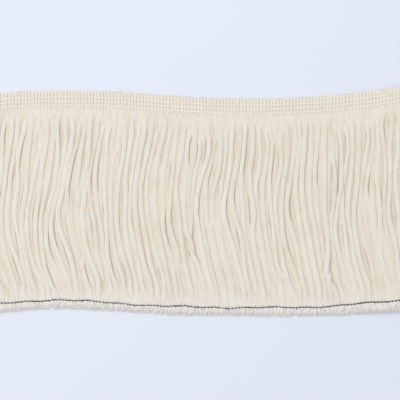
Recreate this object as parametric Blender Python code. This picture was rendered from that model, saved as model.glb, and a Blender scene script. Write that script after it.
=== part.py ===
"""A cut length of cream yarn fringe trim, lying face up on a table.

Sizes are in metres and +Z is up. X runs along the heading, and +Y from the cut yarn ends to the heading.
The origin is on the table, under the middle of the trim. There are three solids: the woven heading, the
fringe of yarns on their root strip, and the dark thread that is sewn across the yarn ends to hold them.
"""

import math

import bmesh
import bpy
import numpy as np

MM = 0.001

# The heading, a narrow band in which three chains of thread bind the yarns
LENGTH = 204 * MM
HEADING_DEPTH = 6.8 * MM
HEADING_THICKNESS = 2.2 * MM
CHAIN_ROWS = 3
CHAIN_PITCH = 1.94 * MM
CHAIN_RISE = 0.35 * MM
LOWEST_CHAIN = 0.75 * MM
HEADING_STEPS = 68

# The yarns, one for each pick of the heading, lying in two layers by turns
YARNS = 132
STRIP_GAP = 0.3 * MM
STRIP_DEPTH = 1.0 * MM
YARN_DROP = 90.8 * MM
END_LENGTH = 4.4 * MM
UNEVEN_ENDS = 0.3 * MM
UNEVEN_TURN = 2.4

# The thread that holds the yarn ends, laid on the upper yarns. Its line wanders: how far in mm, mm to a
# wave, and where the wave starts in radians.
THREAD_THICKNESS = 0.5 * MM
THREAD_GAP = 0.3 * MM
THREAD_STEPS = 78
THREAD_ENDS = (-100 * MM, 105 * MM)
THREAD_WANDERS = (
    (0.35, 44.0, 0.0),
    (0.2, 14.5, 2.0),
)

# Where the middle of the whole trim lies, which becomes the origin
MIDDLE = (-0.08 * MM, -47.07 * MM)

# How the trim lies, in mm. A row for each place along the heading: x, how far the heading's upper edge
# bends off a straight line, how far the trim lifts off the table, how much lower the holding thread
# runs, and how far the yarns there sway to the right of their roots at 20, 40, 55, 75 and 100 percent
# of the way to that thread.
LIE_COLUMNS = ("x", "edge", "lift", "drop", "sway20", "sway40", "sway55", "sway75", "sway100")
LIE = (
    (-104, 1.0, 0.0, 0.4, -1.8, -4.0, -5.2, -3.4, 1.5),
    (-93, 2.2, 0.0, 0.4, -2.0, -3.9, -5.0, -3.6, 1.8),
    (-82, 3.6, 0.0, 0.3, -1.0, -3.0, -4.6, -3.4, 2.0),
    (-70, 3.9, 0.0, -0.1, 0.4, -2.4, -5.2, -3.4, 2.4),
    (-56, 3.9, 0.0, -0.2, -1.2, -3.0, -4.2, -1.8, 3.2),
    (-38, 3.4, 0.0, 0.5, -1.3, -3.0, -2.8, -0.6, 3.2),
    (-16, 1.8, 0.0, 0.6, -2.0, -4.0, -3.8, -1.4, 2.4),
    (6, 0.5, 0.0, -0.5, 0.0, -2.4, -2.6, -0.2, 3.2),
    (28, 0.2, 0.0, -0.4, 0.6, -1.4, -1.2, 1.6, 4.4),
    (50, 1.0, 0.0, 0.0, 0.6, -0.6, -0.3, 2.0, 4.4),
    (72, 2.8, 0.8, 0.5, 0.4, -0.8, -1.4, 0.4, 3.8),
    (93, 5.9, 3.4, 1.6, 0.4, -0.6, -0.6, 1.4, 4.4),
    (104, 7.8, 5.4, 2.0, 0.2, -0.6, -0.6, 1.6, 4.6),
)
SWAYS = LIE_COLUMNS[4:]
SWAY_DEPTHS = (0.0, 0.2, 0.4, 0.55, 0.75, 1.0, 1.06)

# A yarn's section on its way down: share of the drop, then in mm its width, its height and how high the
# yarns of the upper layer lie. The heading pinches the yarns, and so does the holding thread.
ROOT = (0.0, 1.15, 2.1, 0.0)
PINCHED = (1.0, 1.9, 1.5, 1.8)
SECTIONS = (
    (0.06, 1.2, 1.8, 2.1),
    (0.18, 2.1, 2.0, 2.3),
    (0.34, 2.1, 2.0, 2.3),
    (0.50, 2.1, 2.0, 2.3),
    (0.66, 2.1, 2.0, 2.3),
    (0.82, 2.1, 2.0, 2.3),
    PINCHED,
    (1.0 + END_LENGTH / YARN_DROP, 2.1, 1.6, 1.9),
)

# Neighbours in a layer part and close up again: side shift in mm, yarns to a wave, and the turns that the
# wave makes down the drop. The two layers' waves are out of step.
PARTINGS = (
    (0.3, 6.3, 0.45),
    (0.14, 3.7, -0.8),
)
LAYER_PHASE = 2.2

CREAM = (0.80, 0.74, 0.63)
WARM_CREAM = (0.82, 0.74, 0.61)
CHARCOAL = (0.03, 0.03, 0.035)


def through(knots, values, at):
    """A smooth curve through the values at these knots, read at one place or several."""
    knots = np.asarray(knots, float)
    values = np.asarray(values, float)
    slopes = np.gradient(values, knots)
    at = np.clip(at, knots[0], knots[-1])
    i = np.clip(np.searchsorted(knots, at) - 1, 0, len(knots) - 2)
    span = knots[i + 1] - knots[i]
    t = (at - knots[i]) / span
    start = values[i] * (2 * t**3 - 3 * t**2 + 1) + values[i + 1] * (3 * t**2 - 2 * t**3)
    return start + span * (slopes[i] * (t**3 - 2 * t**2 + t) + slopes[i + 1] * (t**3 - t**2))


def lie(column, x):
    """One column of the LIE table at x, in metres."""
    rows = np.array(LIE) * MM
    return through(rows[:, 0], rows[:, LIE_COLUMNS.index(column)], x)


def sway(x, depth):
    """How far the yarn rooted at x has moved sideways at this share of the drop."""
    shifts = [lie(name, x) for name in SWAYS]
    return through(SWAY_DEPTHS, [0.0, *shifts, shifts[-1]], depth)


def parting(yarn, depth):
    """The small side shift that opens and closes gaps between neighbours of one layer."""
    place, layer = divmod(yarn, 2)
    shift = 0.0
    for size, wave, turns in PARTINGS:
        shift += size * MM * math.sin(2 * math.pi * (place / wave + turns * depth) + LAYER_PHASE * layer)
    return shift * math.sin(math.pi * min(depth, 1.0)) ** 2


def lift(x):
    return max(lie("lift", x), 0.0)


def on_trim(x, below, height):
    """The point at x along the trim, this far below the heading's upper edge and above its back."""
    return (x - MIDDLE[0], lie("edge", x) - below - MIDDLE[1], height + lift(x))


def material(name, colour, roughness):
    made = bpy.data.materials.new(name)
    made.use_nodes = True
    shader = made.node_tree.nodes["Principled BSDF"]
    shader.inputs["Base Color"].default_value = (*colour, 1.0)
    shader.inputs["Roughness"].default_value = roughness
    shader.inputs["Metallic"].default_value = 0.0
    return made


def finish(name, mesh_or_curve, collection, finish_material):
    made = bpy.data.objects.new(name, mesh_or_curve)
    made.data.materials.append(finish_material)
    collection.objects.link(made)


def grid_of(columns, rows, corner):
    """A grid of this many faces each way, with its points where corner(column, row) says."""
    shape = bmesh.new()
    bmesh.ops.create_grid(shape, x_segments=columns, y_segments=rows, size=1)
    for n, point in enumerate(shape.verts):
        row, column = divmod(n, columns + 1)
        point.co = corner(column, row)
    return shape


def new_points(extruded):
    return [item for item in extruded["geom"] if isinstance(item, bmesh.types.BMVert)]


def mesh_of(shape, name):
    """The bmesh as a mesh, with its faces pointing out."""
    bmesh.ops.recalc_face_normals(shape, faces=shape.faces)
    mesh = bpy.data.meshes.new(name)
    shape.to_mesh(mesh)
    shape.free()
    return mesh


def chain_height(below):
    """The height of the heading's face, which the three chains raise into ribs."""
    rise = 0.0
    for chain in range(CHAIN_ROWS):
        centre = HEADING_DEPTH - LOWEST_CHAIN - chain * CHAIN_PITCH
        away = abs(below - centre) / (CHAIN_PITCH / 2)
        rise = max(rise, CHAIN_RISE * math.cos(math.pi / 2 * min(away, 1.0)))
    return HEADING_THICKNESS - CHAIN_RISE + rise


def make_heading(collection, finish_material):
    """A band with a flat back, whose face is raised into ribs where the chains of thread run."""
    ribs = [LOWEST_CHAIN + n * CHAIN_PITCH / 2 for n in range(2 * CHAIN_ROWS)]
    depths = [0.0] + sorted(HEADING_DEPTH - rib for rib in ribs) + [HEADING_DEPTH]

    def corner(column, row):
        x = LENGTH * (column / HEADING_STEPS - 0.5)
        return on_trim(x, depths[row], chain_height(depths[row]))

    shape = grid_of(HEADING_STEPS, len(depths) - 1, corner)
    for point in new_points(bmesh.ops.extrude_face_region(shape, geom=list(shape.faces))):
        point.co.z = lift(point.co.x + MIDDLE[0])
    finish("heading", mesh_of(shape, "heading"), collection, finish_material)


def yarn_root(yarn):
    return (yarn + 0.5) * LENGTH / YARNS - LENGTH / 2


def yarn_corners(yarn, section):
    """A yarn's four corners at one of its sections, clockwise from the upper left."""
    depth, width, height, upper_layer = section
    root = yarn_root(yarn)
    centre = root + sway(root, depth) + parting(yarn, depth)
    under = upper_layer * MM if yarn % 2 else 0.0
    start = HEADING_DEPTH + STRIP_GAP + STRIP_DEPTH
    below = start + depth * (HEADING_DEPTH + YARN_DROP + lie("drop", root) - start)
    if depth > 1:
        below += UNEVEN_ENDS * math.sin(UNEVEN_TURN * yarn)
    corners = []
    for side, top in ((-1, 1), (1, 1), (1, 0), (-1, 0)):
        x = centre + side * width * MM / 2
        bend = lie("edge", x) - lie("edge", root)
        corners.append(on_trim(x, below + bend, under + top * height * MM))
    return corners


def make_fringe(collection, finish_material):
    """The root strip along the heading's lower edge, with every yarn drawn out of its front face."""

    def corner(column, row):
        yarn, side = divmod(column, 2)
        x = yarn_root(yarn) + (side - 0.5) * ROOT[1] * MM
        return on_trim(x, HEADING_DEPTH + STRIP_GAP + STRIP_DEPTH, row * ROOT[2] * MM)

    shape = grid_of(2 * YARNS - 1, 1, corner)
    tips = list(shape.faces)[::2]
    for point in new_points(bmesh.ops.extrude_face_region(shape, geom=list(shape.faces))):
        point.co.y += STRIP_DEPTH
    for yarn, tip in enumerate(tips):
        for section in SECTIONS:
            (tip,) = bmesh.ops.extrude_discrete_faces(shape, faces=[tip])["faces"]
            place_tip(tip, yarn_corners(yarn, section))
    finish("fringe", mesh_of(shape, "fringe"), collection, finish_material)


def place_tip(tip, corners):
    """Moves an end face's points to the four corners, each to the one on its own side and level."""
    centre = tip.calc_center_median()
    upper_left, upper_right, lower_right, lower_left = corners
    for point in tip.verts:
        right = point.co.x > centre.x
        upper = point.co.z > centre.z
        if upper:
            point.co = upper_right if right else upper_left
        else:
            point.co = lower_right if right else lower_left


def make_holding_thread(collection, finish_material):
    """The line of stitches across the yarn ends, a thin tube lying on the upper yarns."""
    start, end = THREAD_ENDS
    top_of_yarns = (PINCHED[2] + PINCHED[3]) * MM
    curve = bpy.data.curves.new("holding_thread", "CURVE")
    curve.dimensions = "3D"
    curve.bevel_depth = THREAD_THICKNESS / 2
    curve.bevel_resolution = 0
    curve.use_fill_caps = True
    line = curve.splines.new("POLY")
    line.points.add(THREAD_STEPS)
    for n, point in enumerate(line.points):
        x = start + (end - start) * n / THREAD_STEPS
        below = HEADING_DEPTH + YARN_DROP + lie("drop", x)
        for size, wave, turn in THREAD_WANDERS:
            below += size * MM * math.sin(2 * math.pi * x / (wave * MM) + turn)
        point.co = (*on_trim(x, below, top_of_yarns + THREAD_GAP + THREAD_THICKNESS / 2), 1.0)
    finish("holding_thread", curve, collection, finish_material)


def main():
    for old in list(bpy.data.objects):
        bpy.data.objects.remove(old)
    trim = bpy.data.collections.new("fringe_trim")
    bpy.context.scene.collection.children.link(trim)
    make_heading(trim, material("heading_yarn", WARM_CREAM, 0.9))
    make_fringe(trim, material("fringe_yarn", CREAM, 0.95))
    make_holding_thread(trim, material("thread", CHARCOAL, 0.6))


main()
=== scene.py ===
# Cream yarn fringe trim lying on a pale table, seen from straight above.
# Lengths are in metres. The trim is worked out flat, then laid in the bends that it lies in.
import math

import bpy
import numpy as np
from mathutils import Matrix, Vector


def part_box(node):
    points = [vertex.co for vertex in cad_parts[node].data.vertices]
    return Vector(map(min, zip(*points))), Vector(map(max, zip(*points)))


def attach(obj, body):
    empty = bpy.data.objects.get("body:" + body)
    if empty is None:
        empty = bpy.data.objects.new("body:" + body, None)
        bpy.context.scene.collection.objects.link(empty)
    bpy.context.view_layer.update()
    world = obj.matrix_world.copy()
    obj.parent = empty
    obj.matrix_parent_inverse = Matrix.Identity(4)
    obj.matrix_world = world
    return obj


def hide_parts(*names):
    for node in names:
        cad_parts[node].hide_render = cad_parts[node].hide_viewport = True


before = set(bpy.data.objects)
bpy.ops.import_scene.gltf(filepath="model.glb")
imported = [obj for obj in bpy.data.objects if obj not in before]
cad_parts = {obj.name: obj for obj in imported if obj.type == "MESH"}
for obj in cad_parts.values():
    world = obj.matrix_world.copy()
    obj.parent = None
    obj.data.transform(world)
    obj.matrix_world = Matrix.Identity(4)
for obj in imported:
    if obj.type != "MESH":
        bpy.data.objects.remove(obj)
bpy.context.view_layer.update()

mm = 0.001
dice = np.random.default_rng(11)

trim = {
    "length": 204 * mm,  # along the heading
    "headingDepth": 6.8 * mm,
    "picks": 132,  # yarns bound side by side into the heading
    "yarnDrop": 90.8 * mm,  # from the heading to the holding thread
    "cutEnds": 3.5 * mm,  # yarn left below the holding thread
    "plies": 4,
    "plyTurn": 8.5 * mm,  # a ply goes once round its yarn in this length
}
pitch = trim["length"] / trim["picks"]
roots = (np.arange(trim["picks"]) + 0.5) * pitch - trim["length"] / 2

# How the trim lies, in mm. A row for each place along the heading: x, the bend of the upper edge, the
# lift off the table, how much lower the holding thread runs, and how far the yarns sway to the right
# at 10, 20, 40, 55, 75 and 100 percent of the way down to that thread.
lieNames = ["x", "edge", "lift", "drop", "sway10", "sway20", "sway40", "sway55", "sway75", "sway100"]
lieRows = [
    [-104, 2.0, 0.0, 0.4, -0.9, -1.8, -4.0, -5.2, -3.4, 1.5],
    [-93, 2.9, 0.0, 0.4, -0.9, -2.0, -3.9, -5.4, -3.8, 2.2],
    [-82, 3.6, 0.0, -0.1, -0.3, -1.0, -3.2, -5.4, -3.9, 2.8],
    [-70, 3.9, 0.0, -0.4, 0.3, 0.1, -2.9, -6.0, -4.1, 2.6],
    [-56, 3.9, 0.0, 0.2, -0.4, -1.5, -3.7, -5.4, -2.5, 3.1],
    [-38, 3.4, 0.0, 0.5, -0.1, -1.5, -3.8, -3.7, -0.8, 3.3],
    [-16, 1.8, 0.0, 0.6, -0.4, -2.0, -4.7, -4.0, -0.9, 3.2],
    [6, 0.5, 0.0, -0.5, 0.7, 0.3, -2.5, -2.4, 0.6, 5.0],
    [28, 0.2, 0.0, -0.4, 0.9, 0.9, -1.0, -0.6, 3.0, 7.2],
    [50, 1.0, 0.0, 0.0, 0.6, 0.7, -0.3, 0.3, 3.2, 7.2],
    [72, 2.8, 0.8, 0.5, 0.4, 0.6, -0.5, -1.0, 1.3, 6.0],
    [93, 5.9, 3.4, 1.6, 0.3, 0.5, -0.5, -0.6, 1.8, 5.2],
    [104, 7.8, 5.4, 2.0, 0.1, 0.2, -0.6, -0.6, 1.6, 4.6],
]
swayDepths = [0.0, 0.1, 0.2, 0.4, 0.55, 0.75, 1.0, 1.06]


def smoothCurve(knots, values, at):
    # a curve through the values at these knots, with rounded corners
    knots, values = np.asarray(knots, float), np.asarray(values, float)
    slopes = np.gradient(values, knots, axis=0)
    at = np.clip(at, knots[0], knots[-1])
    i = np.clip(np.searchsorted(knots, at) - 1, 0, len(knots) - 2)
    span = knots[i + 1] - knots[i]
    t = (at - knots[i]) / span
    rise = values[i] * (2 * t**3 - 3 * t**2 + 1) + values[i + 1] * (3 * t**2 - 2 * t**3)
    return rise + span * (slopes[i] * (t**3 - 2 * t**2 + t) + slopes[i + 1] * (t**3 - t**2))


def lie(name, x):
    rows = np.array(lieRows) * mm
    return smoothCurve(rows[:, 0], rows[:, lieNames.index(name)], x)


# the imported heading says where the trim's middle and its unbent upper edge are
headingLow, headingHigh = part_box("heading")
middleX = (headingLow.x + headingHigh.x) / 2
edgeY = headingHigh.y - float(lie("edge", trim["length"] / 2))


def laid(x, y, z, bendAt=None):
    # from the flat trim, with y = 0 at its upper edge, to the trim as it lies
    bend = lie("edge", x if bendAt is None else bendAt)
    return np.stack([x + middleX, y + bend + edgeY, z + np.maximum(lie("lift", x), 0)], axis=-1)


# Small helpers for meshes

def onlySelect(piece):
    bpy.ops.object.select_all(action="DESELECT")
    piece.select_set(True)
    bpy.context.view_layer.objects.active = piece


def pointsOf(piece):
    flat = np.empty(len(piece.data.vertices) * 3)
    piece.data.vertices.foreach_get("co", flat)
    return flat.reshape(-1, 3)


def movePoints(piece, points):
    piece.data.vertices.foreach_set("co", np.ascontiguousarray(points, float).ravel())
    piece.data.update()


def mark(piece, name, values):
    # an attribute that the material reads, one number or one place for each point
    kind, field = ("FLOAT", "value") if values.ndim == 1 else ("FLOAT_VECTOR", "vector")
    piece.data.attributes.new(name, kind, "POINT").data.foreach_set(field, values.ravel())


def arrayOf(model, count, name):
    # so many copies of the model in one mesh, still on top of each other
    piece = model.copy()
    piece.data = model.data.copy()
    piece.name = piece.data.name = name
    bpy.context.scene.collection.objects.link(piece)
    onlySelect(piece)
    bpy.ops.object.modifier_add(type="ARRAY")
    piece.modifiers[-1].count = count
    piece.modifiers[-1].use_relative_offset = False
    bpy.ops.object.modifier_apply(modifier=piece.modifiers[-1].name)
    return piece


def finishPiece(piece, material, node):
    onlySelect(piece)
    bpy.ops.object.mode_set(mode="EDIT")
    bpy.ops.mesh.select_all(action="SELECT")
    bpy.ops.mesh.normals_make_consistent(inside=False)
    bpy.ops.object.mode_set(mode="OBJECT")
    bpy.ops.object.shade_smooth()
    piece.data.materials.clear()
    piece.data.materials.append(material)
    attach(piece, "root")
    if node:
        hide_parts(node)
    print(piece.name, "made,", len(piece.data.loops) - 2 * len(piece.data.polygons), "triangles")


# Materials

def linear(hexColour):
    parts = [int(hexColour[i:i + 2], 16) / 255 for i in (1, 3, 5)]
    return [p / 12.92 if p <= 0.04045 else ((p + 0.055) / 1.055) ** 2.4 for p in parts] + [1.0]


def addNode(tree, kind, settings=None, links=None):
    # a node with its settings, and links from other nodes' outputs into its inputs
    node = tree.nodes.new(kind)
    for name, value in (settings or {}).items():
        if hasattr(node, str(name)):
            setattr(node, name, value)
        else:
            node.inputs[name].default_value = value
    for name, output in (links or {}).items():
        tree.links.new(output, node.inputs[name])
    return node


def newMaterial(name, settings):
    material = bpy.data.materials.new(name)
    material.use_nodes = True
    shader = material.node_tree.nodes["Principled BSDF"]
    for socket, value in settings.items():
        shader.inputs[socket].default_value = value
    return material, material.node_tree, shader


def woolYarn(name, colours, fibreMm, bumpMm):
    # Undyed wool spun loosely and plied: its crimped fibres scatter light every way, so a yarn looks
    # nearly as pale at its sides as on top, and each yarn took the scouring a little differently
    material, tree, shader = newMaterial(name, {
        "Roughness": 0.95, "Diffuse Roughness": 1.0, "Specular IOR Level": 0.2,
        "Sheen Weight": 0.2, "Sheen Roughness": 0.6,
    })
    fibre = addNode(tree, "ShaderNodeAttribute", {"attribute_name": "fibre"})
    tone = addNode(tree, "ShaderNodeAttribute", {"attribute_name": "tone"})
    paintedCreaseShade = addNode(tree, "ShaderNodeAttribute", {"attribute_name": "paintedCreaseShade"})
    strands = addNode(tree, "ShaderNodeTexNoise", {"Scale": 1 / (fibreMm * mm), "Detail": 3.0},
                      {"Vector": fibre.outputs["Vector"]})
    place = addNode(tree, "ShaderNodeTexCoord")
    blotch = addNode(tree, "ShaderNodeTexNoise", {"Scale": 1 / (9 * mm), "Detail": 2.0},
                     {"Vector": place.outputs["Object"]})
    mixed = addNode(tree, "ShaderNodeMath", {"operation": "MULTIPLY_ADD", 1: 0.45},
                    {0: blotch.outputs["Fac"], 2: tone.outputs["Fac"]})
    streaked = addNode(tree, "ShaderNodeMath", {"operation": "MULTIPLY_ADD", 1: 0.3},
                       {0: strands.outputs["Fac"], 2: mixed.outputs[0]})
    # painted shade: the crease value darkens ply valleys and yarns lying below their neighbours toward
    # the first, darkest colour
    shaded = addNode(tree, "ShaderNodeMath", {"operation": "MULTIPLY_ADD", 1: -0.42},
                     {0: paintedCreaseShade.outputs["Fac"], 2: streaked.outputs[0]})
    colour = addNode(tree, "ShaderNodeValToRGB", {}, {"Fac": shaded.outputs[0]})
    stops = colour.color_ramp.elements
    stops[0].position, stops[0].color = 0.1, linear(colours[0])
    stops[1].position, stops[1].color = 1.0, linear(colours[2])
    middle = stops.new(0.65)
    middle.color = linear(colours[1])
    paler = addNode(tree, "ShaderNodeTexNoise", {"Scale": 1 / (3 * mm), "Detail": 1.0},
                    {"Vector": fibre.outputs["Vector"]})
    share = addNode(tree, "ShaderNodeMapRange", {"From Min": 0.42, "From Max": 0.72, "To Max": 0.6},
                    {"Value": paler.outputs["Fac"]})
    worn = addNode(tree, "ShaderNodeAttribute", {"attribute_name": "worn"})
    pale = addNode(tree, "ShaderNodeMath", {"operation": "ADD", "use_clamp": True},
                   {0: share.outputs["Result"], 1: worn.outputs["Fac"]})
    scoured = addNode(tree, "ShaderNodeMixRGB", {"Color2": linear(colours[3])},
                      {"Fac": pale.outputs[0], "Color1": colour.outputs["Color"]})
    tree.links.new(scoured.outputs["Color"], shader.inputs["Base Color"])
    bump = addNode(tree, "ShaderNodeBump", {"Strength": 0.7, "Distance": bumpMm * mm},
                   {"Height": strands.outputs["Fac"]})
    tree.links.new(bump.outputs["Normal"], shader.inputs["Normal"])
    return material


def sewingThread():
    # Spun polyester sewing thread dyed black: dull, with greyer bands where its twist turns over
    material, tree, shader = newMaterial("spunPolyesterThread", {
        "Roughness": 0.6, "Specular IOR Level": 0.25,
    })
    place = addNode(tree, "ShaderNodeTexCoord")
    twist = addNode(tree, "ShaderNodeTexWave", {"bands_direction": "DIAGONAL", "Scale": 1 / (0.9 * mm)},
                    {"Vector": place.outputs["Object"]})
    colour = addNode(tree, "ShaderNodeValToRGB", {}, {"Fac": twist.outputs["Fac"]})
    colour.color_ramp.elements[0].color = linear("#0f0f11")
    colour.color_ramp.elements[1].color = linear("#29282d")
    tree.links.new(colour.outputs["Color"], shader.inputs["Base Color"])
    bump = addNode(tree, "ShaderNodeBump", {"Strength": 0.5, "Distance": 0.05 * mm},
                   {"Height": twist.outputs["Fac"]})
    tree.links.new(bump.outputs["Normal"], shader.inputs["Normal"])
    return material


# the same wool in the hanging yarns, in the picks, in the fine chains, and opened into loose fibres
# the first colour of each is the darkest random tone, and on the yarns and picks also the painted shade
# in ply valleys and between yarns
fringeWool = woolYarn("pliedWool", ["#dccfb0", "#ede6d7", "#f2ecdf", "#eeebe3"], 0.5, 0.12)
headingWool = woolYarn("pliedWoolPicks", ["#e8dfcc", "#f0e9db", "#f3ede0", "#efe9dc"], 0.5, 0.1)
chainWool = woolYarn("fineWoolChain", ["#ebe1cd", "#f3ecdd", "#f6f1e5", "#f2eee5"], 0.4, 0.05)
# the opened wool is paler than the yarns: partly its own colour, partly painted light that lifts the
# shade on the drooping cut ends
endsWool = woolYarn("openedWool", ["#f2ede4", "#f6f2eb", "#f8f5ef", "#f6f3ef"], 0.4, 0.05)
blackThread = sewingThread()


# The model of a yarn: plies laid round each other, standing on end

def modelYarn(turns, rings, valley):
    # every third point of the section lies in the valley between two plies
    bpy.ops.object.select_all(action="DESELECT")
    bpy.ops.mesh.primitive_circle_add(vertices=3 * trim["plies"], radius=1)
    model = bpy.context.object
    model.name = "yarnModel"
    for n, point in enumerate(model.data.vertices):
        point.select = n % 3 == 0
    mark(model, "valley", np.array([float(n % 3 == 0) for n in range(3 * trim["plies"])]))
    bpy.ops.object.mode_set(mode="EDIT")
    bpy.ops.transform.resize(value=(valley, valley, 1))
    bpy.ops.object.mode_set(mode="OBJECT")
    bpy.ops.object.modifier_add(type="SCREW")
    screw = model.modifiers[-1]
    screw.angle = -2 * math.pi  # the plies run down to the right on the face of the yarn
    screw.screw_offset = trim["plyTurn"]
    screw.steps = screw.render_steps = rings
    screw.iterations = turns
    bpy.ops.object.modifier_apply(modifier=screw.name)
    bpy.ops.object.mode_set(mode="EDIT")
    bpy.ops.mesh.select_all(action="SELECT")
    bpy.ops.mesh.fill_holes(sides=0)
    bpy.ops.object.mode_set(mode="OBJECT")
    return model


paintedShadeDepth = 1.9 * mm  # a point this far below the yarns around it gets the darkest painted shade


def layYarns(model, name, paths, wides, highs, tones, unders=None, side=None):
    # a copy of the straight model along each path, squeezed to these half widths and half heights
    straight = pointsOf(model)
    valley = np.empty(len(straight))
    model.data.attributes["valley"].data.foreach_get("value", valley)
    length = straight[:, 2].max()
    piece = arrayOf(model, len(paths), name)
    points, fibres, paintedCreaseShades, worn = [], [], [], []
    unwind = 2 * math.pi * straight[:, 2] / trim["plyTurn"]
    for n, path in enumerate(paths):
        steps = np.linalg.norm(np.diff(path, axis=0), axis=1)
        share = np.concatenate([[0], np.cumsum(steps)]) / steps.sum()
        at = straight[:, 2] / length

        def along(values):
            return np.interp(at, share, values)

        ahead = np.gradient(path, axis=0)
        ahead /= np.linalg.norm(ahead, axis=1)[:, None]
        across = np.stack([-ahead[:, 1], ahead[:, 0], 0 * ahead[:, 0]], axis=1)
        if side:
            across = np.tile(side, (len(path), 1))
        across /= np.linalg.norm(across, axis=1)[:, None]
        upward = np.cross(ahead, across)
        roll = dice.uniform(0, 2 * math.pi)
        x = straight[:, 0] * math.cos(roll) - straight[:, 1] * math.sin(roll)
        y = straight[:, 0] * math.sin(roll) + straight[:, 1] * math.cos(roll)
        wide, high = along(wides[n]), along(highs[n])
        points.append(np.stack([
            along(path[:, k]) + along(across[:, k]) * x * wide + along(upward[:, k]) * y * high
            for k in range(3)
        ], axis=1))
        # painted shade: darker the deeper a point lies between plies, and below the yarns around it
        below = 0 * y if unders is None else along(unders[n]) - y * high
        paintedCreaseShades.append(0.5 * valley + np.clip(below / paintedShadeDepth, 0, 1) ** 0.7)
        # rubbed paler towards the cut ends, and a little under the heading
        worn.append(0 * at if unders is None else np.interp(at, [0, 0.12, 0.9, 1], [0.15, 0, 0, 0.6]))
        # the same point on the untwisted yarn, shortened so that the fibres' pattern runs lengthwise
        fibres.append(np.stack([
            (straight[:, 0] * np.cos(unwind) - straight[:, 1] * np.sin(unwind)) * 1.2 * mm,
            (straight[:, 0] * np.sin(unwind) + straight[:, 1] * np.cos(unwind)) * 1.2 * mm,
            straight[:, 2] * 0.15 + n * 7 * mm,
        ], axis=1))
    movePoints(piece, np.concatenate(points))
    mark(piece, "fibre", np.concatenate(fibres))
    mark(piece, "paintedCreaseShade", np.concatenate(paintedCreaseShades))
    mark(piece, "tone", np.repeat(tones, len(straight)))
    mark(piece, "worn", np.concatenate(worn))
    return piece


# The fringe: where each yarn comes to lie

yarn = {
    "places": 96,  # on the way down
    "thick": (3.6 * mm, 3.6 * mm),  # where it lies free: the yarns underneath, and the ones on top
    "thickVaries": (0.03, 0.15),  # from yarn to yarn
    "flat": (0.54, 0.41),  # its height, as a share of its width
    "rootWide": 2.15 * mm,  # squeezed side by side in the heading
    "rootHigh": 1.6 * mm,
    "bedHigh": 1.0 * mm,  # of the flat ones on the table
    "bedWide": 0.62,  # their half width, as a share of the space between the ones above them
    "loosens": (0.1, 0.06),  # share of the drop in which it swells to its full thickness
    "heldWide": 2.08 * mm,  # where the holding thread presses it
    "heldHigh": 1.7 * mm,
    "soft": (0.5, 0.64, 0.6),  # how near two yarns come, of their thickness: at the heading, free, held
    "follows": (0.7, 1.0),  # share of the wanders below that they take part in
    "gives": (0.0, 2.0),  # how far the yarns underneath and on top give way to each other
    "strays": (0.4 * mm, 2.1 * mm),  # the most that a yarn lies off its way by itself
    "settles": 220,  # rounds of settling
    "pull": 0.08,  # in each round, the share of the way back to where it would hang
    "sinks": 0.03 * mm,
    "push": 0.4,  # the share of an overlap that is undone
    "aside": 0.4,  # how much of that push goes to the side as well as up
    "eases": 0.25,  # how much its bends are smoothed
    "fills": 0.7,  # half width of the ones underneath, as a share of the space between their middles
    "near": 2.6 * mm,  # yarns nearer than this darken each other with painted shade
}
wanders = [  # shared by neighbours: mm to the side, mm to a wave along the trim, waves down the drop
    (0.7, 33, 1.1),
    (0.4, 19, -0.7),
]
locks = [  # the same, for the yarns on top alone, which gather into locks
    (0.5, 12.5, 1.6),
    (0.3, 8.1, -2.1),
]


def loose(count, places, waves):
    # a slow random swing along each of so many yarns, about 1 at its most
    depth = np.linspace(0, 1, places)
    swing = np.zeros((count, places))
    for wave in waves:
        phase = dice.uniform(0, 2 * math.pi, (count, 1))
        size = dice.uniform(0.3, 1, (count, 1)) / len(waves)
        swing += size * np.sin(2 * math.pi * wave * depth + phase)
    return swing


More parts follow.
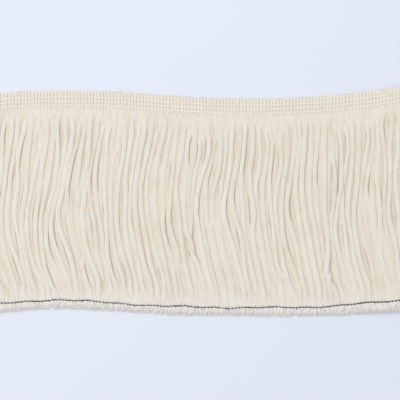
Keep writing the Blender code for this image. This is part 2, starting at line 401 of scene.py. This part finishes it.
def settleYarns():
    # lets the yarns fall on each other and push each other aside, station by station down the drop
    count, places = trim["picks"], yarn["places"]
    depth = np.linspace(0, 1, places)
    held = np.clip((depth - 0.93) / 0.07, 0, 1) ** 1.5
    onTop = (np.arange(count) % 2)[:, None]
    thick, varies, flat, loosens, follows, gives, strays = (
        np.where(onTop, yarn[k][1], yarn[k][0])
        for k in ("thick", "thickVaries", "flat", "loosens", "follows", "gives", "strays")
    )
    free = np.clip(depth / loosens, 0, 1)
    body = thick * (1 + varies * dice.uniform(-1, 1, (count, 1)))
    body = body * (1 + (0.05 + 0.1 * onTop) * loose(count, places, [3, 7, 12]))
    soft = np.interp(depth, [0, 0.1, 0.9, 1], np.array(yarn["soft"])[[0, 1, 1, 2]])
    wide = yarn["rootWide"] + (body - yarn["rootWide"]) * free
    high = yarn["rootHigh"] + (body * flat - yarn["rootHigh"]) * free
    wide = (wide + (yarn["heldWide"] - wide) * held) / 2
    high = (high + (yarn["heldHigh"] - high) * held) / 2
    sways = [0 * roots] + [lie(name, roots) for name in lieNames[4:]] + [lie("sway100", roots)]
    target = roots[:, None] + [smoothCurve(swayDepths, sway, depth) for sway in np.array(sways).T]
    stray = loose(count, places, [0.7, 1.6, 2.9]) * strays
    for size, wave, down in wanders + locks:
        turn = dice.uniform(0, 2 * math.pi)
        swing = size * mm * np.sin(2 * math.pi * (roots[:, None] / (wave * mm) + down * depth) + turn)
        stray += swing * (onTop if (size, wave, down) in locks else follows)
    target += stray * np.clip(depth / 0.14, 0, 1) * np.clip((1 - depth) / 0.12, 0, 1)
    # one layer starts above the other, and the upper one unevenly
    start = (0.9 + 1.7 * onTop) * mm + 1.8 * mm * loose(count, places, [1.6, 3.1, 4.8]) * onTop
    x, z = target.copy(), high[:, :1] + (start - high[:, :1]) * free
    for _ in range(yarn["settles"]):
        x += yarn["pull"] * (target - x)
        z -= yarn["sinks"]
        for apart in range(1, 7):
            wider, taller = wide[apart:] + wide[:-apart], high[apart:] + high[:-apart]
            dx, dz = (x[apart:] - x[:-apart]) / wider, (z[apart:] - z[:-apart]) / taller
            gap = np.maximum(np.hypot(dx, dz), 0.03)
            push = yarn["push"] * np.clip(soft - gap, 0, None) / gap
            for values, shift in ((x, dx * wider * push * yarn["aside"]), (z, dz * taller * push)):
                values[apart:] += 0.5 * gives[apart:] * shift
                values[:-apart] -= 0.5 * gives[:-apart] * shift
        for values in (x, z):
            values[:, 1:-1] += yarn["eases"] * (values[:, 2:] + values[:, :-2] - 2 * values[:, 1:-1])
        z = np.maximum(z, high)
        x[:, 0] = roots
        z[:, 0] = high[:, 0]
    # the yarns underneath spread until they overlap
    room = np.diff(x[::2], axis=0)
    room = np.maximum(np.vstack([room[:1], room]), np.vstack([room, room[-1:]]))
    wide[::2] = np.maximum(wide[::2], yarn["fills"] * room * np.clip(3 * free[::2], 0, 1))
    # from the middle of each yarn up to the highest one beside it, which sets the painted shade
    under = high.copy()
    for apart in range(1, 5):
        near = np.abs(x[apart:] - x[:-apart]) < yarn["near"]
        top = z + high
        under[apart:] = np.maximum(under[apart:], near * (top[:-apart] - z[apart:]))
        under[:-apart] = np.maximum(under[:-apart], near * (top[apart:] - z[:-apart]))
    return depth, x, z, wide, high, under


depth, yarnX, yarnZ, yarnWide, yarnHigh, yarnUnder = settleYarns()
print("yarns settled, highest", round(float((yarnZ + yarnHigh).max() / mm), 2), "mm")


def fringePaths(x, z, wide, high, under):
    # the settled places as paths, run on a little below the holding thread into the cut ends
    start = trim["headingDepth"] - 0.2 * mm
    reach = (trim["headingDepth"] + trim["yarnDrop"] + lie("drop", x[:, 0]))[:, None]
    y = -(start + depth * (reach - start))
    tailY = y[:, -1:] - np.array([[0.2, 0.5, 1.0]]) * mm
    tail = np.ones((1, 3))
    return (
        laid(np.hstack([x, x[:, -1:] * tail]), np.hstack([y, tailY]),
             np.hstack([z, z[:, -1:] * tail]), x[:, :1]),
        np.hstack([wide, wide[:, -1:] * [[0.8, 0.6, 0.3]]]),
        np.hstack([high, high[:, -1:] * [[0.6, 0.4, 0.2]]]),
        np.hstack([under, under[:, -1:] * tail]),
    )


def bedYarns():
    # Flat yarns on the table, one below each parting of the yarns underneath. They belong to no pick
    # and keep the table from showing through.
    x = (yarnX[2::2] + yarnX[:-2:2]) / 2
    high = np.full_like(x, yarn["bedHigh"] / 2)
    # the height of the yarns above them, which sets their painted shade
    above = yarnZ + yarnHigh
    above = np.maximum(above[2::2], above[:-2:2])
    return x, high, yarn["bedWide"] * np.diff(yarnX[::2], axis=0), high, above - high


bedModel = modelYarn(6, 8, 0.8)
paths, wides, highs, unders = fringePaths(*bedYarns())
tones = dice.uniform(0.5, 0.65, len(paths))
piece = layYarns(bedModel, "bedYarns", paths, wides, highs, tones, unders)
finishPiece(piece, fringeWool, "fringe")
bpy.data.objects.remove(bedModel)

yarnModel = modelYarn(11, 10, 0.64)
paths, wides, highs, unders = fringePaths(yarnX, yarnZ, yarnWide, yarnHigh, yarnUnder)
tones = dice.uniform(0.48, 0.68, trim["picks"])
for name, part in (("lowerYarns", slice(0, None, 2)), ("upperYarns", slice(1, None, 2))):
    piece = layYarns(yarnModel, name, paths[part], wides[part], highs[part], tones[part], unders[part])
    finishPiece(piece, fringeWool, "fringe")

# The cut ends below the holding thread, opened into loose fibres

cutEnds = {
    "fibres": 46,  # of each yarn
    "thick": 0.3 * mm,
    "uneven": 1.2 * mm,  # in length
    "spread": 1.3 * mm,  # of their tips
}


def fibreBundle(name, lines, thick, tips):
    # thin tapered tubes along short lines, made in one curve
    curve = bpy.data.curves.new(name, "CURVE")
    curve.dimensions = "3D"
    curve.bevel_depth = thick / 2
    curve.bevel_resolution = 0
    curve.use_fill_caps = True
    for line in lines:
        spline = curve.splines.new("POLY")
        spline.points.add(len(line) - 1)
        spline.points.foreach_set("co", np.hstack([line, np.ones((len(line), 1))]).ravel())
        spline.points.foreach_set("radius", np.interp(np.linspace(0, 1, len(line)), *tips))
    piece = bpy.data.objects.new(name, curve)
    bpy.context.scene.collection.objects.link(piece)
    onlySelect(piece)
    bpy.ops.object.convert(target="MESH")
    return piece


def makeCutEnds():
    lines = []
    bottom = -(trim["headingDepth"] + trim["yarnDrop"] + lie("drop", roots))
    middle = np.convolve(np.pad(yarnZ[:, -1], 2, mode="edge"), np.ones(5) / 5, "valid")
    for n in range(trim["picks"]):
        for _ in range(cutEnds["fibres"]):
            turn, out = dice.uniform(0, 2 * math.pi), math.sqrt(dice.uniform(0.35, 1.35))
            dx = math.cos(turn) * out * yarnWide[n, -1]
            dz = math.sin(turn) * out * yarnHigh[n, -1]
            lean = dice.normal(0, cutEnds["spread"] / 2)
            rise = dice.normal(0, cutEnds["spread"] / 2)
            length = trim["cutEnds"] + dice.normal(0, cutEnds["uneven"] / 2)
            # each starts a little above the holding thread
            t = np.array([-dice.uniform(0.08, 0.34), 0.3, 0.65, 1.0])
            x = yarnX[n, -1] + dx * (1.3 + 0.35 * t) + lean * t
            z = (middle[n] + dz * (1 + 0.3 * t)) * (1 - 0.7 * t**2) + rise * np.clip(t, 0, 1) ** 1.5
            z = np.maximum(z, 0.1 * mm)
            lines.append(laid(x, bottom[n] - length * t, z, np.full(4, roots[n])))
    return fibreBundle("cutEnds", lines, cutEnds["thick"], ([0, 0.5, 1], [0.8, 1.0, 0.3]))


def markLoose(piece):
    # loose fibres have no twist to follow, so their pattern reads their own place
    points = pointsOf(piece)
    mark(piece, "fibre", points * [1, 0.2, 1])
    mark(piece, "tone", np.full(len(points), 0.35))
    mark(piece, "paintedCreaseShade", np.zeros(len(points)))


piece = makeCutEnds()
markLoose(piece)
finishPiece(piece, endsWool, "fringe")

# The heading: a pick of yarn folded over the top for each yarn below, and the chains that bind them

heading = {
    "pickWide": (1.48 * mm, 2.3 * mm),  # on the face, and on the back
    "legHigh": 0.95 * mm,  # of a pick's leg on the face, and of its leg on the back
    "legPoints": 20,
    "foldRadius": 0.34 * mm,
    "top": 0.05 * mm,  # how far below the upper edge the picks turn over
    "runsOn": 0.7 * mm,  # how far they run on below the heading
    "dips": 0.6 * mm,  # how far the leg on the face sinks there
    "rows": [2.75 * mm, 4.65 * mm, 6.55 * mm],  # of chain stitches, below the upper edge
    "threadThick": 0.42 * mm,
    "chainHeights": (1.62 * mm, 0.45 * mm),  # on the face, and on the back
    "linkLong": 2.05 * mm,
    "linkWide": 0.8 * mm,
}


def makePicks():
    # each yarn comes up the face, turns over the upper edge and goes down the back
    model = modelYarn(2, 12, 0.95)
    half, fold = heading["legHigh"] / 2, heading["foldRadius"]
    low, top = -(trim["headingDepth"] + heading["runsOn"]), -(heading["top"] + half + fold)
    count = heading["legPoints"]
    turn = np.linspace(0, math.pi, 9)[1:-1]
    rise, sink = np.linspace(low, top, count), np.linspace(top, low, count)
    y = np.concatenate([rise, top + fold * np.sin(turn), sink])
    z = np.concatenate([half + 2 * fold + 0 * rise, half + fold * (1 + np.cos(turn)), half + 0 * sink])
    below = (-rise - trim["headingDepth"]) / heading["runsOn"]
    z[:count] -= heading["dips"] * np.clip(below, 0, 1) ** 1.5
    wide = np.interp(z, [half, half + 2 * fold], heading["pickWide"][::-1])
    tight = np.zeros(len(y))
    for row in heading["rows"]:
        tight = np.maximum(tight, np.exp(-((y + row) / (0.6 * mm)) ** 2))
    paths, wides, highs = [], [], []
    for root in roots:
        swell = 1 + 0.02 * dice.normal()
        paths.append(laid(root + dice.normal(0, 0.03 * mm) + 0 * y, y + dice.normal(0, 0.05 * mm), z))
        wides.append(wide / 2 * swell * (1.02 - 0.05 * tight))
        highs.append(half * swell * (1.06 - 0.2 * tight))
    tones = dice.uniform(0.35, 0.5, len(paths))
    piece = layYarns(model, "headingPicks", paths, wides, highs, tones, side=(-1.0, 0.0, 0.0))
    bpy.data.objects.remove(model)
    return piece


def modelLink():
    # one chain stitch: a ring of thread, narrow at its tail, which dips under the head of the last one
    ringX = (heading["linkLong"] - heading["threadThick"]) / 2
    ringY = (heading["linkWide"] - heading["threadThick"]) / 2
    bpy.ops.object.select_all(action="DESELECT")
    bpy.ops.mesh.primitive_torus_add(major_segments=12, minor_segments=5, major_radius=ringX,
                                     minor_radius=heading["threadThick"] / 2)
    link = bpy.context.object
    link.name = "linkModel"
    points = pointsOf(link)
    ahead = points[:, 0] / ringX
    thread = points[:, 1] * (1 - ringX / np.hypot(points[:, 0], points[:, 1]))  # off the thread's middle
    points[:, 1] = thread + (points[:, 1] - thread) * ringY / ringX * (0.8 + 0.3 * ahead)
    points[:, 2] += 0.14 * mm * ahead
    movePoints(link, points)
    return link


def makeChains():
    # a row of links on the face and one on the back, at each place where the picks are bound
    link = modelLink()
    shape = pointsOf(link)
    stitches = trim["picks"] - 1
    piece = arrayOf(link, stitches * 2 * len(heading["rows"]), "headingChains")
    points = []
    for row in heading["rows"]:
        for face, height in zip((1, -1), heading["chainHeights"]):
            for n in range(stitches):
                size = 1 + 0.06 * dice.normal()
                x = shape[:, 0] + (roots[n] + roots[n + 1]) / 2 + dice.normal(0, 0.05 * mm)
                y = shape[:, 1] * size - row + dice.normal(0, 0.05 * mm)
                points.append(laid(x, y, face * shape[:, 2] + height + dice.normal(0, 0.03 * mm)))
    points = np.concatenate(points)
    movePoints(piece, points)
    mark(piece, "fibre", points * [0.3, 1, 1])
    mark(piece, "tone", np.repeat(dice.uniform(0.3, 0.8, len(points) // len(shape)), len(shape)))
    mark(piece, "paintedCreaseShade", np.zeros(len(points)))
    bpy.data.objects.remove(link)
    return piece


finishPiece(makePicks(), headingWool, "heading")
finishPiece(makeChains(), chainWool, "heading")

# The holding thread: a line of stitches that comes up between the yarns and goes down again

stitch = {
    "pitch": 1.58 * mm,
    "long": 1.34 * mm,  # the run of each on top
    "thick": 0.39 * mm,
    "swells": (0.6, 1.5, 1.4, 0.6),  # its thickness at four places, as a share
    "dips": (0.1 * mm, 0.5 * mm),  # at its two ends
    "sag": 0.1 * mm,  # of its run
    "above": 0.2 * mm,  # the highest yarn below it, less that sag
    "near": 1.6 * mm,  # yarns nearer than this carry it
    "tick": 0.6 * mm,  # how far it turns aside at the shallow end
    "ends": (-100 * mm, 105 * mm),
}
threadWanders = [(0.35, 44, 0.0), (0.2, 14.5, 2.0)]  # mm to the side, mm to a wave, where it starts


def modelStitch():
    bpy.ops.object.select_all(action="DESELECT")
    bpy.ops.curve.primitive_bezier_curve_add(radius=1)
    model = bpy.context.object
    curve = model.data
    curve.splines.remove(curve.splines[0])
    line = curve.splines.new("BEZIER")
    half = stitch["long"] / 2
    places = [(-half, stitch["tick"], -stitch["dips"][0]), (-0.6 * half, 0, -stitch["sag"]),
              (0.1 * half, 0, -stitch["sag"]), (half, 0, -stitch["dips"][1])]
    line.bezier_points.add(len(places) - 1)
    for point, place, swell in zip(line.bezier_points, places, stitch["swells"]):
        point.co = place
        point.radius = swell
        point.handle_left_type = point.handle_right_type = "AUTO"
    curve.resolution_u = 3
    curve.bevel_depth = stitch["thick"] / 2
    curve.bevel_resolution = 1
    curve.use_fill_caps = True
    bpy.ops.object.convert(target="MESH")
    model = bpy.context.object
    model.name = "stitchModel"
    return model


def threadY(x):
    y = -(trim["headingDepth"] + trim["yarnDrop"] + lie("drop", x))
    for size, wave, turn in threadWanders:
        y = y - size * mm * np.sin(2 * math.pi * x / (wave * mm) + turn)
    return y


def makeStitches():
    model = modelStitch()
    shape = pointsOf(model)
    start, end = stitch["ends"]
    places = np.arange(start, end, stitch["pitch"])
    piece = arrayOf(model, len(places), "holdingStitches")
    points = []
    for place in places:
        near = np.abs(yarnX[:, -1] - place) < stitch["near"]
        top = (yarnZ[near, -1] + yarnHigh[near, -1]).max()
        slant = dice.normal(0, 0.12)
        x = place + shape[:, 0] * (1 + 0.1 * dice.normal())
        y = threadY(place) + shape[:, 1] + slant * shape[:, 0] + dice.normal(0, 0.06 * mm)
        y = y + (threadY(x) - threadY(place))
        points.append(laid(x, y, shape[:, 2] + top + stitch["above"]))
    movePoints(piece, np.concatenate(points))
    bpy.data.objects.remove(model)
    return piece


finishPiece(makeStitches(), blackThread, "holding_thread")

# The halo: fine single fibres that stand off the yarns

halo = {"fibres": 7000, "thick": 0.08 * mm, "long": (1.5 * mm, 4.0 * mm), "overEdge": 1400}


def makeHalo():
    lines = []
    count, places = len(paths), paths.shape[1]
    for _ in range(halo["fibres"]):
        n, k = dice.integers(0, count), dice.integers(2, places - 4)
        side = dice.uniform(-1, 1)
        foot = paths[n, k] + [side * wides[n, k], 0, math.sqrt(1 - side * side) * highs[n, k] * 0.95]
        length = dice.uniform(*halo["long"])
        turn = dice.normal(0, 0.9) + (math.pi if dice.random() < 0.5 else 0)
        run = np.array([math.sin(turn), math.cos(turn), 0]) * length
        curl = dice.normal(0, 0.25, 3) * length
        rise = dice.uniform(0.05, 0.45) * mm
        line = [foot + run * t + curl * t * t + [0, 0, rise * math.sin(math.pi * min(t * 1.2, 1))]
                for t in (0, 0.5, 1)]
        # none reaches past the ends of the trim or into the table
        lines.append(np.clip(line, [-106 * mm, -1, 0.1 * mm], [106 * mm, 1, 1]))
    for _ in range(halo["overEdge"]):
        x = dice.uniform(roots[0], roots[-1]) + np.array([0, 0.2, 0.6]) * dice.normal(0, 1.2 * mm)
        y = np.array([-0.6 * mm, 0, 1]) * [1, 1, dice.uniform(0.3, 1.1) * mm]
        lines.append(laid(x, y, np.full(3, dice.uniform(0.4, 1.6) * mm)))
    return fibreBundle("woolHalo", lines, halo["thick"], ([0, 1], [1, 0.4]))


piece = makeHalo()
markLoose(piece)
finishPiece(piece, endsWool, None)
bpy.data.objects.remove(yarnModel)

# The table, the light and the camera

table = {"size": 3.0, "gap": 0.02 * mm}
light = {"place": (-0.4, 0.3, 1.5), "size": 1.2, "energy": 18.3, "colour": (0.97, 0.985, 1.0)}
sky = {"colour": "#f4f6ff", "strength": 0.45}
camera = {"height": 1.0, "across": 186.7 * mm, "aim": (0.08 * mm, 0.37 * mm)}


def paintedBoard():
    # Smooth white board with a cool cast: even, without gloss
    material, tree, shader = newMaterial("paintedBoard", {"Roughness": 0.8, "Specular IOR Level": 0.2})
    place = addNode(tree, "ShaderNodeTexCoord")
    mottle = addNode(tree, "ShaderNodeTexNoise", {"Scale": 9.0, "Detail": 2.0},
                     {"Vector": place.outputs["Object"]})
    colour = addNode(tree, "ShaderNodeValToRGB", {}, {"Fac": mottle.outputs["Fac"]})
    colour.color_ramp.elements[0].color = linear("#e5e9f2")
    colour.color_ramp.elements[1].color = linear("#e8ecf4")
    tree.links.new(colour.outputs["Color"], shader.inputs["Base Color"])
    return material


bpy.ops.object.select_all(action="DESELECT")
bpy.ops.mesh.primitive_plane_add(size=table["size"], location=(0, 0, -table["gap"]))
floor = bpy.context.object
floor.name = "table"
floor.data.materials.append(paintedBoard())

bpy.ops.object.light_add(type="AREA", location=light["place"])
softbox = bpy.context.object
softbox.name = "softbox"
softbox.data.size = light["size"]
softbox.data.energy = light["energy"]
softbox.data.color = light["colour"]

world = bpy.data.worlds.new("studio")
bpy.context.scene.world = world
world.use_nodes = True
world.node_tree.nodes["Background"].inputs["Color"].default_value = linear(sky["colour"])
world.node_tree.nodes["Background"].inputs["Strength"].default_value = sky["strength"]

bpy.ops.object.camera_add(location=(*camera["aim"], camera["height"]))
eye = bpy.context.object
eye.data.sensor_width = 36
eye.data.lens = 36 * camera["height"] / camera["across"]
bpy.context.scene.camera = eye
bpy.context.scene.view_settings.view_transform = "Standard"

print("trim dressed")
